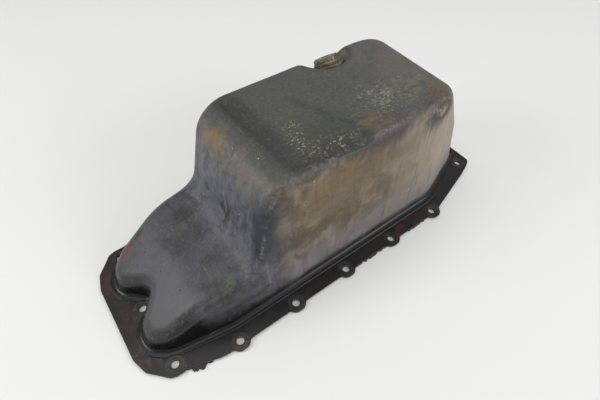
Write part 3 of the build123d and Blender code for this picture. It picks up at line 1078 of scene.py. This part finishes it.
# Enamel over the drawn form. Slow noise bends the borders of every field of colour, so that
# they run into each other as stains do; each step lays one colour over those before it.
def bowlPaint():
    m = Maker("bowl_paint")
    rise, lay = m.rise, m.lay
    place = m.place()
    x, y, z = m.parts(place)
    up, edge, valley, pocket = (m.field(name) for name in ("up", "edge", "valley", "pocket"))
    broad = m.noise(place, 60, 0, 2, 0.5)
    cloud = m.noise(place, 22, (7, 3, 1), 5, 0.62, 0.4)
    blots = m.noise(place, 9, (1, 8, 4), 5, 0.6, 0.8)
    fine = m.noise(place, 2.4, 0, 4, 0.65)
    runs = m.noise(place, (5.5, 5.5, 70), (3, 0, 2), 4, 0.6, 0.3)
    strays = m.noise(place, 30, (4, 4, 9), 3, 0.55)
    drift = (strays - 0.5) * 46
    bentX, bentY, bentZ = x + drift, y - drift * 0.6, z + drift * 0.7
    bent = m.node("ShaderNodeCombineXYZ", {}, {0: bentX, 1: bentY, 2: bentZ})
    stain = {name: m.stain(bent, spots) for name, spots in bowlStains.items()}

    # front: charcoal with dark blots and a lilac tint on faces that look up, partly a painted sheen
    m.colour = m.mix(rise(cloud, 0.38, 0.62), "charcoalDark", "charcoal")
    lilacTintAndSheen = rise(broad + (cloud - 0.5) * 0.9, 0.44, 0.66) * rise(up, 0.2, 0.8) * 0.8
    lay(lilacTintAndSheen, "lilacTintAndSheen")
    lay(rise(blots, 0.60, 0.72) * 0.55, "charcoalDark")

    # front wall of the sump: blue-grey with a dark blue hollow beside the near corner
    wallFront = rise(bentX, -112, -84) * rise(bentX, -30, -60)
    lay(wallFront * rise(blots + (cloud - 0.5), 0.25, 0.65), "blueGrey")
    lay(wallFront * rise(runs, 0.52, 0.70) * 0.4, "mauve")
    lay((stain["hollow"] * 1.6).least(1.0) * rise(cloud, 0.26, 0.46) * 0.95, "blueDark")

    # near and far walls: tan that greys towards the foot and the rear; partly dust, partly painted light, as
    # the side faces are painted lighter than the floor
    side = rise(up + (strays - 0.5) * 0.5, 0.80, 0.35) * rise(x + drift * 0.3, -72, -44)
    wall = m.mix(rise(bentX, 20, 140), "umber", "tan")
    wall = m.mix(rise(cloud, 0.42, 0.66) * 0.6, wall, "tan")
    wall = m.mix(rise(bentZ, 70, 24) * 0.75, wall, "mauve")
    lay(side * 0.94, wall)

    # ochre on the near wall behind the corner, and up over the front shoulder
    ochre = stain["ochre"].most(stain["ochreFar"] * 1.3)
    patchy = rise(blots * 0.5 + runs * 0.5, 0.36, 0.60)
    lay((ochre * (patchy * 0.7 + 0.35)).least(1.0) * 0.9, "ochre")
    lay(stain["hot"] * rise(cloud, 0.32, 0.58) * 0.9, "orange")
    lay(ochre * rise(blots, 0.54, 0.70) * 0.8, "umber")

    # runs and drips down the walls from the rim
    lay(side * rise(runs, 0.54, 0.72) * 0.5, "plum")
    lay(side * rise(runs, 0.44, 0.26) * 0.35, "tan")
    lay(stain["drip"] * rise(runs + (cloud - 0.5) * 0.5, 0.40, 0.52) * 0.9, "plum")

    # sump floor: grey-green, paler to the rear, greenest in the near front corner
    level = up + (cloud - 0.5) * 0.5 + (strays - 0.5) * 0.5
    top = rise(level, 0.66, 0.92) * rise(z + drift * 0.1, 128, 140)
    floor = m.mix(rise(bentX, 20, 130), "floorGrey", "floorPale")
    floor = m.mix(rise(cloud, 0.55, 0.40) * 0.6, floor, "floorGrey")
    floor = m.mix(rise(blots, 0.52, 0.70) * 0.3, floor, "charcoalDark")
    floor = m.mix(rise(blots * 0.5 + broad * 0.5, 0.40, 0.30) * 0.5, floor, "floorPale")
    floor = m.mix(stain["green"] * 0.85, floor, "floorGreen")
    floor = m.mix(stain["shade"] * 0.35, floor, "charcoal")
    lay(top, floor)
    bruised = rise(blots + (cloud - 0.5), 0.30, 0.50)
    lay((stain["bruise"] * 2.2).least(1.0) * bruised, "plum")
    lay((stain["patch"] * 1.6).least(1.0) * rise(blots, 0.42, 0.58) * 0.9, "umberWarm")
    lay(stain["moist"] * rise(blots * 0.7 + fine * 0.3, 0.44, 0.60) * 0.7, "lichen")
    lay(stain["rubbed"] * rise(fine * 0.6 + blots * 0.4, 0.53, 0.62) * 0.5, "dustAndHighlight")

    # a dark line painted across the floor from the near side: painted shade of a faint second crease that
    # the skin does not have
    line = (bentX * 0.94 + bentY * 0.33 - 9.5).size()
    creaseShadeLine = rise(line, 7, 0) * rise(y, 26, 12) * rise(y, -62, -50) * top
    lay(creaseShadeLine * 0.55, "creaseShade")

    # painted shade along the pressed valley, and darker in the drain pocket
    lay((valley * (0.65 + cloud * 0.7)).least(1.0) * 0.9, "creaseShade")
    lay(pocket * rise(cloud, 0.30, 0.60) * 0.75, "charcoalDark")
    lay(stain["crumbs"] * rise(fine * 0.7 + blots * 0.3, 0.53, 0.59) * 0.8, "sand")
    lay(stain["crumbs"] * rise(fine, 0.62, 0.68) * 0.7, "fleck")

    # the far front edge is rusty; moss stains and dark blots lie on the shelf
    lay(stain["rust"] * 1.3 * rise(cloud, 0.32, 0.54) * 0.9, "rust")
    lay(stain["moss"] * rise(blots, 0.46, 0.62) * 0.7, "moss")
    lay(stain["blot"] * rise(cloud, 0.36, 0.56) * 0.6, "charcoalDark")

    # darker toes; the near-black over their steep sides is a painted reflection of the black flange, and at
    # the foot of the walls it is painted shade
    lay(rise(bentX, -138, -178) * 0.6, "charcoalDark")
    toeSideShade = rise(bentX, -130, -146) * rise(up, 0.76, 0.50)
    foot = rise(z + (cloud - 0.5) * 10, 19, 6).most(toeSideShade * rise(bentZ, 50, 34))
    lay(foot * 0.96, "root")

    # bare grey where the edges are rubbed, most of all high up; along the rim and the land's step it is also
    # a painted highlight line
    wornAndHighlight = rise(edge + (fine - 0.5) * 0.9, 1.05, 1.5) * rise(blots, 0.40, 0.62)
    wornAndHighlight = wornAndHighlight * rise(bentZ, 44, 74, (0.35, 1.0))
    lay(wornAndHighlight * 0.30, "dustAndHighlight")

    # light and dark grain, then dust film, scratches, flecks and pits
    m.colour = m.mix(1.0, m.colour, 0.70 + fine * 0.36 + blots * 0.24, "MULTIPLY")
    film = (rise(up, 0.1, 0.9) * 0.03 + rise(fine, 0.45, 0.75) * 0.12) * (1 - foot)
    lay(film, "dustAndHighlight")
    scored = m.noise(place, (46, 0.9, 8), (2, 1, 5), 2, 0.5, 0.2)
    crossed = m.noise(place, (1.1, 38, 9), (9, 3, 2), 2, 0.5, 0.2)
    scratch = rise(scored, 0.70, 0.74).most(rise(crossed, 0.72, 0.76)) * rise(strays, 0.42, 0.62)
    lay(scratch * 0.35, "dustAndHighlight")
    fleck = rise(m.cells(place, 19, (3, 1, 6)), 0.040, 0.026)
    lay(fleck * rise(strays, 0.46, 0.52) * 0.7, "fleck")
    pits = rise(m.cells(place, 8.5, (5, 5, 1)), 0.12, 0.06) * rise(broad, 0.45, 0.55)
    lay(pits * 0.7, "pit")

    rough = 0.42 + (cloud - 0.5) * 0.22 + (fine - 0.5) * 0.14 + side * 0.14 + top * 0.06
    smear = rise(bentX, -128, -150) * 0.06
    rough = rough - foot * 0.10 - smear + wornAndHighlight * 0.1 + film * 0.8
    relief = fine * 0.05 + blots * 0.16 + cloud * 0.30
    relief = relief - pits * 0.35 - scratch * 0.06 + patchy * ochre * 0.12
    return m.finish(rough.most(0.18), m.bump(relief, 0.9), **{"Specular IOR Level": 0.38})


# distance to the nearest bolt, with the even rows folded on to one of their bolts
def boltDistance(m, x, y):
    pitch = pan["boltPitch"]
    row = m.node("ShaderNodeMath", {"operation": "ROUND"}, {0: x.size() / pitch}).least(2.0)
    away = [(x.size() - row * pitch, y.size() - pan["boltSpan"])]
    away += [(x - pan[name][0], y.size() - pan[name][1]) for name in ("frontBolt", "rearBolt")]
    away.append((x - pan["notchBolt"][0], y))
    nearest = None
    for awayX, awayY in away:
        distance = (awayX ** 2 + awayY ** 2) ** 0.5
        nearest = distance if nearest is None else nearest.least(distance)
    return nearest


# Enamel of the flange: brown-black with maroon and rusty tints, bare along the cut edge with a painted
# highlight there, with the prints of washers round the bolt holes.
def flangePaint():
    m = Maker("flange_paint")
    rise, lay = m.rise, m.lay
    place = m.place()
    x, y, _ = m.parts(place)
    side = m.field("side")
    cloud = m.noise(place, 16, (2, 5, 1), 5, 0.6, 0.5)
    blots = m.noise(place, 5, (8, 2, 4), 4, 0.6)
    fine = m.noise(place, 1.3, 0, 4, 0.65)
    stain = {name: m.stain(place, spots) for name, spots in flangeStains.items()}
    m.colour = m.mix(rise(cloud, 0.36, 0.64), "root", "flange")
    tint = stain["maroonFar"].most(stain["maroonFront"] * 0.8).most(stain["maroonNear"] * 0.7)
    lay(tint * rise(cloud + (blots - 0.5) * 0.4, 0.36, 0.60), "maroon")
    lay(stain["brown"] * rise(blots, 0.42, 0.64) * 0.5, "umber")
    lay(rise(blots, 0.58, 0.74) * 0.25, "charcoal")

    near = boltDistance(m, x, y)
    washed = rise(near, 8.0, 7.2) * rise(near, 4.2, 5.2)
    lay(washed * rise(blots, 0.36, 0.56) * 0.35, "umber")
    rim = rise(near, 8.6, 8.0) * rise(near, 7.0, 7.6)
    lay(rim * rise(cloud, 0.40, 0.56) * 0.5, "charcoal")

    # the cut edge's faces are painted light: bare metal and a painted highlight line
    bareAndHighlight = rise(side, 0.10, 0.35) * rise(side, 0.98, 0.80)
    bareAndHighlight = bareAndHighlight * rise(blots * 0.6 + cloud * 0.4, 0.34, 0.50)
    lay(bareAndHighlight * 0.8, "dustAndHighlight")
    specks = rise(m.cells(place, 9), 0.07, 0.04) * rise(cloud, 0.5, 0.58)
    lay(specks * 0.5, "dustAndHighlight")
    rough = 0.36 + (cloud - 0.5) * 0.25 + (fine - 0.5) * 0.18 + bareAndHighlight * 0.12
    relief = fine * 0.10 + blots * 0.22 + cloud * 0.25 + rim * 0.2
    return m.finish(rough.most(0.18), m.bump(relief, 0.7), **{"Specular IOR Level": 0.4})


# Inside of the pan: enamel under a brown film of old oil that has run to the deepest places.
def oilFilm():
    m = Maker("oil_film")
    place = m.place()
    z = m.parts(place)[2]
    cloud = m.noise(place, 26, (3, 3, 7), 5, 0.6, 0.6)
    runs = m.noise(place, (5, 5, 60), (1, 9, 2), 4, 0.6, 0.3)
    fine = m.noise(place, 1.8, 0, 4, 0.6)
    m.colour = m.mix(m.rise(cloud, 0.36, 0.64), "oilBrown", "oilPale")
    m.lay(m.rise(runs, 0.52, 0.68) * 0.7, "oilRun")
    m.lay(m.rise(z + (cloud - 0.5) * 40, 108, 142) * 0.75, "oilDeep")
    m.lay(m.rise(fine, 0.60, 0.72) * 0.25, "oilSpeck")
    rough = 0.34 + (cloud - 0.5) * 0.3 + (fine - 0.5) * 0.1
    relief = fine * 0.08 + runs * 0.25 + cloud * 0.2
    return m.finish(rough.most(0.12), m.bump(relief, 0.6, 0.4), **{"Coat Weight": 0.3})


# Old gasket: nearly black, chalky on its high spots and pitted.
def oldRubber():
    m = Maker("old_rubber")
    place = m.place()
    cloud = m.noise(place, 12, (1, 4, 4), 5, 0.6, 0.4)
    fine = m.noise(place, 1.1, 0, 5, 0.65)
    pitted = m.cells(place, 1.6)
    m.colour = m.mix(m.rise(cloud, 0.35, 0.65), "rubber", "rubberPale")
    m.lay(m.rise(fine, 0.58, 0.70) * 0.5, "rubberDust")
    m.lay(m.rise(pitted, 0.24, 0.12) * 0.5, "rubberPit")
    relief = fine * 0.4 + pitted * 0.4 + cloud * 0.3
    return m.finish(0.78 + (cloud - 0.5) * 0.2, m.bump(relief, 0.5, 0.7))


# clean, stained and grimy colour, share of bare metal and of turning marks
steels = {
    "boss_steel": (tone(110, 102, 90), tone(80, 70, 58), tone(44, 40, 37), 0.5, 1.0),
    "washer_metal": (tone(120, 104, 78), tone(88, 68, 48), tone(48, 42, 38), 0.7, 1.0),
    "plug_steel": (tone(132, 124, 110), tone(104, 92, 74), tone(52, 47, 43), 0.7, 0.3),
}


# Steel of the drain pieces: turned marks, brown oil stains and grime, bright on rubbed edges.
def drainSteel(name):
    clean, stained, grime, metal, turning = steels[name]
    m = Maker(name)
    place = m.place()
    away = m.vector("SUBTRACT", {0: place, 1: tuple(drainMiddle)})
    height = m.vector("DOT_PRODUCT", {0: away, 1: tuple(drainAxis)}, "Value")
    spoke = m.vector("SUBTRACT", {0: away, 1: m.vector("SCALE", {0: tuple(drainAxis), "Scale": height})})
    radius = m.vector("LENGTH", {0: spoke}, "Value")
    rings = m.node("ShaderNodeCombineXYZ", {}, {0: radius * 2.2, 1: height * 2.2, 2: 0.0})
    marks = m.noise(rings, 0.5, 0, 2, 0.6)
    cloud = m.noise(place, 7, (5, 1, 2), 5, 0.6, 0.5)
    blots = m.noise(place, 2.6, 0, 4, 0.6)
    fine = m.noise(place, 0.7, 0, 4, 0.6)
    m.colour = m.mix(m.rise(cloud, 0.38, 0.62), clean, stained)
    m.lay(m.rise(blots, 0.50, 0.68) * 0.7, grime)
    m.lay(m.rise(fine, 0.62, 0.74) * 0.5, "bright")
    rough = 0.42 + (cloud - 0.5) * 0.35 + (blots - 0.5) * 0.2 + (marks - 0.5) * 0.15 * turning
    relief = marks * 0.25 * turning + blots * 0.3 + fine * 0.12
    shine = m.rise(blots, 0.66, 0.46) * metal
    return m.finish(rough.most(0.15), m.bump(relief, 0.4, 0.55), Metallic=shine)


shell.data.materials[0] = bowlPaint()
shell.data.materials[1] = oilFilm()
flange.data.materials.append(flangePaint())
ring.data.materials.append(oldRubber())
for piece, name in ((boss, "boss_steel"), (washer, "washer_metal"), (plug, "plug_steel")):
    piece.data.materials.append(drainSteel(name))
print("materials made")

for piece, body, slot, nodes in (
    (shell, "pan", "pan_steel", ["oil_pan"]),
    (flange, "pan", "pan_steel", ["oil_pan"]),
    (ring, "pan", "gasket", ["old_gasket"]),
    (boss, "pan", "boss_steel", ["drain_boss"]),
    (washer, "washer", "washer_metal", ["drain_washer"]),
    (plug, "plug", "plug_steel", ["drain_plug"]),
):
    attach(piece, body)
    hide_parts(*nodes)

# the floor and the light, in metres and watts

room = {
    "floor": 6.0,
    "floorColour": tone(232, 232, 230),
    "air": (0.86, 0.87, 0.88, 1),
    "airStrength": 0.55,
    "overhead": ((0.0, 0.1, 1.6), (0, 0, 0.05), (1.8, 1.4), 10),
    "left": ((-1.5, 0.5, 0.9), (0, 0, 0.06), (0.9, 0.8), 11),
    "right": ((0.9, -1.5, 0.9), (0, 0, 0.06), (1.0, 0.9), 14),
}


def buildStage():
    mesh = bpy.data.meshes.new("floor")
    reach = room["floor"]
    corners = [(-reach, -reach, 0), (reach, -reach, 0), (reach, reach, 0), (-reach, reach, 0)]
    mesh.from_pydata(corners, [], [(0, 1, 2, 3)])
    floor = placeObject("floor", mesh)
    m = Maker("floor_paint")
    m.colour = room["floorColour"]
    floor.data.materials.append(m.finish(0.6))


def softLamp(name, place, aim, size, power):
    data = bpy.data.lights.new(name, "AREA")
    data.shape = "RECTANGLE"
    data.size, data.size_y = size
    data.energy = power
    lookAt(placeObject(name, data), Vector(place), Vector(aim))


def setLight():
    world = bpy.data.worlds.new("room")
    bpy.context.scene.world = world
    world.use_nodes = True
    back = world.node_tree.nodes["Background"]
    back.inputs["Color"].default_value = room["air"]
    back.inputs["Strength"].default_value = room["airStrength"]
    for name in ("overhead", "left", "right"):
        softLamp(name, *room[name])


buildStage()
setLight()
print("stage set")
